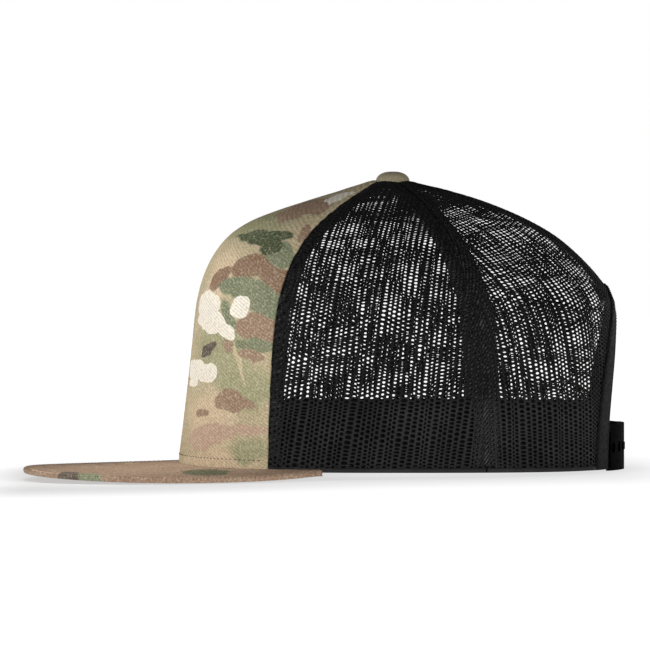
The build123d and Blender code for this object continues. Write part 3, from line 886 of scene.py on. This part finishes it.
# ---------------- crown: tapes inside the seams
def tape(name, phi, z, depth):
    """A tape that runs up the inside of the crown along a line."""
    radius = crown_radius(phi, z, TAPE_WIDTH * 0.6)[:, None]
    across = np.linspace(-1, 1, 17)
    sag = depth - 0.25 * np.abs(across) ** 3
    spread = phi[:, None] + across * (TAPE_WIDTH / 2) / radius
    return crown_shell(name, spread, z[:, None], sag, sag - TAPE_THICKNESS)


for node, seam, depth in (("front_seam_tape", FRONT_SEAM, TAPE_DEPTH - 0.1),
                          ("side_seam_tape", SIDE_SEAM, TAPE_DEPTH)):
    left_tape = tape(f"{node}_twill_left", *seam_line(seam, TAPE_LOW, TAPE_HIGH, 150), depth)
    right_tape = mirrored(left_tape, f"{node}_twill_right")
    dress(left_tape, TAPE_PAINTED_LIGHTER, "black_tape", f"{node}_left")
    dress(right_tape, TAPE_PAINTED_LIGHTER, "black_tape", f"{node}_right")

z, _ = even_heights(0.0, ARCH_HEIGHT + 3, TAPE_HIGH, 120)
dress(tape("back_seam_tape_twill", np.zeros(120), z, TAPE_DEPTH - 0.2), TAPE_PAINTED_LIGHTER, "black_tape", "back_seam_tape")


# ---------------- crown: facing of the back opening
def arch_line(distance, lift):
    """Points round the back opening at a distance from its edge, and their normals."""
    turn = np.linspace(0, math.pi, 220)
    x, up = ARCH_HALF_WIDTH * np.cos(turn), ARCH_HEIGHT * np.sin(turn)
    away = np.stack([np.cos(turn) / ARCH_HALF_WIDTH, np.sin(turn) / ARCH_HEIGHT])
    away /= np.linalg.norm(away, axis=0)
    x, up = x + away[0] * distance, np.maximum(up + away[1] * distance, HEM)
    return crown_line(phi_at(x, up), up, lift)


# Round the folded tape: distance from the opening's edge, and lift off the crown.
FACING_SECTION = [
    (ARCH_FACING, -0.1), (ARCH_FACING - 0.1, 0.3), (ARCH_FACING - 0.7, 0.5), (ARCH_FACING * 0.75, 0.5),
    (ARCH_FACING / 2, 0.48), (3.0, 0.5), (2.2, 0.4), (1.4, 0.5), (0.5, 0.6), (-0.3, 0.45), (-0.7, 0.0),
    (-0.8, -0.6), (-0.5, -1.2), (0.5, -1.45), (2.2, -1.35), (ARCH_FACING * 0.5, -1.45),
    (ARCH_FACING - 0.4, -1.45), (ARCH_FACING, -1.2),
]
section = np.stack([arch_line(distance, lift)[0] for distance, lift in FACING_SECTION + FACING_SECTION[:1]])
count, along = section.shape[:2]
ends = [[k * along for k in range(count - 1)][::-1], [(k + 1) * along - 1 for k in range(count - 1)]]
facing = new_object("arch_facing", section, grid_faces(count, along) + ends)
dress(facing, FACING, "black_tape", "arch_binding")


# ---------------- crown: sweatband, lining and label
def band_grid(low, high, rows, columns, half_gap):
    """Azimuths and heights of a band from one side of the back opening round to the other."""
    return np.meshgrid(round_the_front(float(phi_at(half_gap, HEM)), columns), np.linspace(low, high, rows))


phi, z = band_grid(SWEATBAND_LOW, SWEATBAND_TOP, 44, 420, ARCH_HALF_WIDTH + 0.6)
share = (z - SWEATBAND_LOW) / SWEATBAND_TOP
puff = 0.35 * np.sin(np.pi * np.clip(share, 0, 1)) + 0.15 * np.sin(phi * 37) * np.sin(np.pi * share)
rolled = 0.5 * np.exp(-(((share - 0.93) / 0.04) ** 2))
band = inner_shell("sweatband_twill", phi, z, SWEATBAND_DEPTH + 0.55, SWEATBAND_DEPTH - 0.6 - puff + rolled)
dress(band, BAND, "black_sweatband", "sweatband")

phi, z = band_grid(HEM + 0.2, SWEATBAND_TOP - 1.2, 12, 260, ARCH_HALF_WIDTH + 1.2)
felt = inner_shell("sweatband_felt", phi, z, *LINING_DEPTHS)
dress(felt, LINING, "interlining", "sweatband_interlining")

low, high = LABEL_HEIGHTS
phi, z = np.meshgrid(np.linspace(*LABEL_PHI, 14), np.linspace(low, high, 20))
curl = 0.25 * np.sin((z - low) / (high - low) * math.pi) + 0.5 * np.clip((8 - z) / 4, 0, 1) ** 2
label = inner_shell("care_label_satin", phi, z, LABEL_DEPTH - curl, LABEL_DEPTH - 0.2 - curl)
dress(label, LABEL, "label_satin", "care_label")


# ---------------- visor
def raised(plan, below=0.0):
    """Plan places set on the visor's top face, or at some depth below it."""
    return np.concatenate([plan, visor_z(plan, below)[..., None]], -1)


def beyond_crown(plan):
    """How far plan places are outside the crown's lower edge."""
    return np.linalg.norm(plan, axis=1) - crown_radius(np.arctan2(*plan.T), 1.0)


def arc(hub, radius, start, end, count):
    """Plan places on an arc from one place to another, the short way."""
    turn = np.linspace(math.atan2(*(start - hub)[::-1]), math.atan2(*(end - hub)[::-1]), count)
    return hub + radius * np.stack([np.cos(turn), np.sin(turn)], -1)


def visor_outline(count):
    """The visor's outer edge in plan, from the wearer's left round the front to the right."""
    centre, corner = np.array([0, VISOR_CENTRE_Y]), np.array(VISOR_CORNER)
    turn_x = math.sqrt(VISOR_RADIUS**2 - (VISOR_TURN_Y - VISOR_CENTRE_Y) ** 2)
    turn = np.array([turn_x, VISOR_TURN_Y])
    inward = (centre - turn) / VISOR_RADIUS
    chord = corner - turn
    radius = chord @ chord / (2 * chord @ inward)
    side = arc(turn + inward * radius, radius, corner, turn, 400)
    nose = arc(centre, VISOR_RADIUS, turn, centre - (0, 1), 900)[1:]
    half = np.concatenate([side, nose])
    half = half[np.argmax(beyond_crown(half) > 0.15):]
    whole = np.concatenate([half, (half * (-1, 1))[-2::-1]])
    length = run_length(whole)
    return read_off(np.linspace(0, length[-1], count), length, whole)


def outward(line):
    """Unit normals of a plan line that runs from the wearer's left round the front."""
    x, y = np.gradient(line, axis=0).T
    return np.stack([-y, x], -1) / np.hypot(x, y)[:, None]


outline, fine_outline = visor_outline(VISOR_COLUMNS), visor_outline(1200)
edge_normal = outward(outline)
root_phi = round_the_front(math.atan2(*outline[0]), VISOR_COLUMNS)
root = crown(root_phi, 1.0)[:, :2] * (1 + 0.1 / 83)


def visor_grid(rows, inset):
    """Plan places from the visor's root to a distance inside its outer edge."""
    share = np.linspace(0, 1, rows)[:, None, None]
    return root * (1 - share) + (outline - edge_normal * inset) * share


def row_dip(plan):
    """How deep the rows of stitching draw the cloth in at plan places."""
    flat = plan.reshape(-1, 2)
    distance = np.empty(len(flat))
    for i in range(0, len(flat), 4000):
        gap = flat[i:i + 4000, None, :] - fine_outline[None, :, :]
        distance[i:i + 4000] = np.sqrt((gap**2).sum(-1).min(1))
    distance = distance.reshape(plan.shape[:-1])
    return sum(0.08 * np.exp(-(((distance - row) / 0.7) ** 2)) for row in VISOR_ROWS)


top_plan = visor_grid(TOP_ROWS, VISOR_ROUND)
soft = 0.036 * np.sin(top_plan[..., 0] / 6.1) * np.sin(top_plan[..., 1] / 7.3)
turn = np.linspace(0, math.pi, EDGE_ROWS + 1)[1:, None]
crease = 0.22 * np.exp(-(((turn - 1.9) / 0.12) ** 2))
edge_plan = outline + edge_normal * (VISOR_ROUND * (np.sin(turn) - 1) - crease)[..., None]
outside = np.concatenate([
    raised(top_plan, row_dip(top_plan) - soft),
    raised(edge_plan, VISOR_ROUND * (1 - np.cos(turn))),
    raised((outline - edge_normal * 4.0)[None], VISOR_THICKNESS),
])
inner = outside.copy()
on_top = np.arange(len(outside))[:, None] < TOP_ROWS + EDGE_ROWS // 2
inner[..., 2] += np.where(on_top, -VISOR_CLOTH, VISOR_CLOTH)
inner[TOP_ROWS:TOP_ROWS + EDGE_ROWS, :, :2] -= edge_normal * (VISOR_CLOTH * np.sin(turn))[..., None]
dress(shell("visor_top_cloth", outside, inner), VISOR_PRINT, "camo_twill", "visor_top_cover")

under_plan = visor_grid(60, 3.2)
below = VISOR_THICKNESS + 0.15 - row_dip(under_plan)
under = shell("visor_under_cloth", raised(under_plan, below - 0.5), raised(under_plan, below))
dress(under, VISOR_PRINT, "camo_twill", "visor_under_cover")


# ---------------- button
def turned(name, profile, segments=72):
    """A piece turned about the cap's own upright axis, closed at both ends of its profile."""
    angle = np.arange(segments) * 2 * math.pi / segments
    r, up = np.array(profile).T
    points = np.stack([r[:, None] * np.cos(angle), r[:, None] * np.sin(angle),
                       np.broadcast_to(up[:, None], (len(r), segments))], -1)
    return new_object(name, points, grid_faces(len(r), segments, wrap=True)
                      + [list(range(segments))[::-1], [(len(r) - 1) * segments + k for k in range(segments)]])


profile = [(BUTTON_RADIUS - 1.6, BUTTON_BASE), (BUTTON_RADIUS - 0.5, BUTTON_BASE - 0.15),
           (BUTTON_RADIUS, BUTTON_BASE + 0.6)]
profile += [(BUTTON_RADIUS * math.cos(a) ** 0.8, BUTTON_BASE + 0.8 + (BUTTON_HEIGHT - 0.8) * math.sin(a))
            for a in np.linspace(0.02, 1, 26)[:-1] * math.pi / 2]
dress(turned("button_twill", profile), TWILL_TAN, "tan_fabric", "button_cover")

# ---------------- stitching
lines = []
for side in (1, -1):
    lines.append(beside_seam(FRONT_SEAM, FRONT_STITCH_OFFSET, side))
    lines += [beside_seam(SIDE_SEAM, offset, side) for offset in SIDE_STITCH_OFFSETS]
z, _ = even_heights(0.0, ARCH_HEIGHT + 2, SEAM_STITCH_HIGH, 160)
for offset in BACK_STITCH_OFFSETS:
    lines.append(crown_line(offset / crown_radius(0.0, z, NEAR_AXIS), z, BACK_STITCH_LIFT))
lines += [arch_line(1.8, 0.5), arch_line(ARCH_FACING - 1.4, 0.55)]
phi = np.linspace(float(phi_at(ARCH_HALF_WIDTH + ARCH_FACING, HEM_STITCH_Z)), phi_front - 0.03, 300)
lines += [crown_line(side * phi, HEM_STITCH_Z, 0.1) for side in (1, -1)]
dress(stitches("black_stitching", lines, SEAM_STITCH_PITCH), BLACK_THREAD, "black_mesh")

phi = round_the_front(phi_front + 0.03, 500)
front_line = crown_line(phi, visor_z(crown(phi, 4.0)) + 3.7, 0.3)
dress(stitches("front_hem_stitching", [front_line], SEAM_STITCH_PITCH, 0.5), DARK_THREAD, "camo_twill")

lines = []
for row in VISOR_ROWS:
    line = fine_outline - outward(fine_outline) * row
    line = line[beyond_crown(line) > 1.2]
    for below, up in ((0.14, 1.0), (VISOR_THICKNESS + 0.02, -1.0)):
        lines.append((raised(line, below), np.tile([0.0, 0.0, up], (len(line), 1))))
dress(stitches("visor_stitching", lines, 2.8), PRINT_THREAD, "camo_twill")

phi = round_the_front(float(phi_at(ARCH_HALF_WIDTH + 2, HEM)), 700)
lines = [(off_crown(phi, z, depth), -crown_normal(phi, z))
         for z, depth in ((3.0, SWEATBAND_DEPTH - 0.7), (SWEATBAND_TOP - 3.4, SWEATBAND_DEPTH - 0.75))]
dress(stitches("sweatband_stitching", lines, 3.2), BLACK_THREAD, "black_sweatband")

# ---------------- CAD nodes that stay
for node, material in (("hole_strap", PLASTIC), ("hole_strap_tab", PLASTIC), ("peg_strap", PLASTIC),
                       ("peg_strap_tab", PLASTIC), ("visor_board", BOARD), ("button_shell", STEEL),
                       ("button_tack", STEEL)):
    paint(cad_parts[node], material)

# ---------------- floor, light and camera
FLOOR_REACH, SHADE_REACH = 6.0, 0.16
(_, _, heel_z), (_, heel_y, _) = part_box("hole_strap")
rim = raised(outline, VISOR_THICKNESS + 0.2) * MM
fall = float(np.max((heel_z - rim[:, 2]) / (heel_y - rim[:, 1])))
mesh = bpy.data.meshes.new("floor")
corners = [(x, y) for x in (-FLOOR_REACH, FLOOR_REACH) for y in (-FLOOR_REACH, FLOOR_REACH)]
mesh.from_pydata([(x, y, heel_z - (heel_y - y) * fall - 0.0001) for x, y in corners], [], [(0, 2, 3, 1)])
floor = linked("floor", mesh)
t = Tree("pale_floor")
paint(floor, t.finish(t.mix(t.noise(3), (144, 144, 144), (148, 148, 148)), 0.9, specular=0.0))
# The floor glows evenly; painted shadow dims the glow where the cap closes it in, and a painted shadow pool,
# deeper in front, darkens it round the cap.
open_above = t.add("ShaderNodeAmbientOcclusion", {"samples": 8}, Distance=0.1).outputs["AO"]
shade = t.mix(t.ramp(open_above, 0.5, 1.0, smooth=False), (236, 236, 237), (255, 255, 255))
low, high = cad_box
middle = [(low[axis] + high[axis]) / 2 for axis in range(3)]
off = t.shifted((-middle[0], -middle[1], 0))
aside, ahead = (
    t.math("MAXIMUM", t.math("SUBTRACT", t.math("ABSOLUTE", t.axis(axis, off)),
                             (high[axis] - low[axis]) / 2 - margin), 0.0)
    for axis, margin in ((0, 0.008), (1, 0.012)))
ahead = t.math("MULTIPLY", ahead, 3.6)
away = t.math("SQRT", t.math("ADD", t.math("POWER", aside, 2.0), t.math("POWER", ahead, 2.0)))
# Painted shadow pool: dark grey laid over the glow near the cap's footprint, strongest in front of it.
painted_shadow_pool = t.math("MULTIPLY", t.ramp(away, 0.0, SHADE_REACH, 1.0, 0.0),
              t.ramp(t.axis(1, off), -0.09, 0.04, 0.42, 0.17))
t.set(t.shader.inputs["Emission Color"], t.mix(painted_shadow_pool, shade, (30, 30, 31)))
t.shader.inputs["Emission Strength"].default_value = 1.0

world = bpy.data.worlds.new("studio")
world.use_nodes = True
nodes, links = world.node_tree.nodes, world.node_tree.links
split, fade = nodes.new("ShaderNodeSeparateXYZ"), nodes.new("ShaderNodeMapRange")
links.new(nodes.new("ShaderNodeTexCoord").outputs["Generated"], split.inputs[0])
links.new(split.outputs[2], fade.inputs[0])
for socket, value in enumerate((0.06, 0.5, 1.0, 0.06), 1):
    fade.inputs[socket].default_value = value
nodes["Background"].inputs[0].default_value = (1, 1, 1, 1)
links.new(fade.outputs[0], nodes["Background"].inputs[1])
bpy.context.scene.world = world
bpy.context.scene.view_settings.view_transform = "Standard"


def aimed(name, data, place, target):
    """A lamp or camera that faces a point."""
    thing = linked(name, data)
    thing.location = place
    thing.rotation_euler = (Vector(target) - Vector(place)).to_track_quat("-Z", "Y").to_euler()
    return thing


def lamp(name, place, target, width, height, power, spread=math.pi):
    """A soft oblong light."""
    data = bpy.data.lights.new(name, "AREA")
    data.shape, data.size, data.size_y, data.energy = "RECTANGLE", width, height, power
    data.spread = spread
    aimed(name, data, place, target)


middle = Vector((0, middle[1], middle[2]))
lamp("key", middle + Vector((1.5, -1.5, 0.03)), middle, 1.4, 0.16, 15)
lamp("brim", (0.05, -0.17, 0.4), (0.045, -0.115, 0.0), 0.08, 0.08, 0.041, math.radians(26))
lamp("fill", middle + Vector((1.9, 0.9, 0.03)), middle, 1.4, 0.16, 11)

CAMERA_DISTANCE, CAMERA_Y, CAMERA_HEIGHT, AIM_HEIGHT = 2.6, -0.0302, 0.0932, 0.0632
data = bpy.data.cameras.new("camera")
data.sensor_width, data.lens = 36, 322.8
data.clip_start, data.clip_end = 0.05, 50
bpy.context.scene.camera = aimed("camera", data, (CAMERA_DISTANCE, CAMERA_Y, CAMERA_HEIGHT),
                                 (0, CAMERA_Y, AIM_HEIGHT))
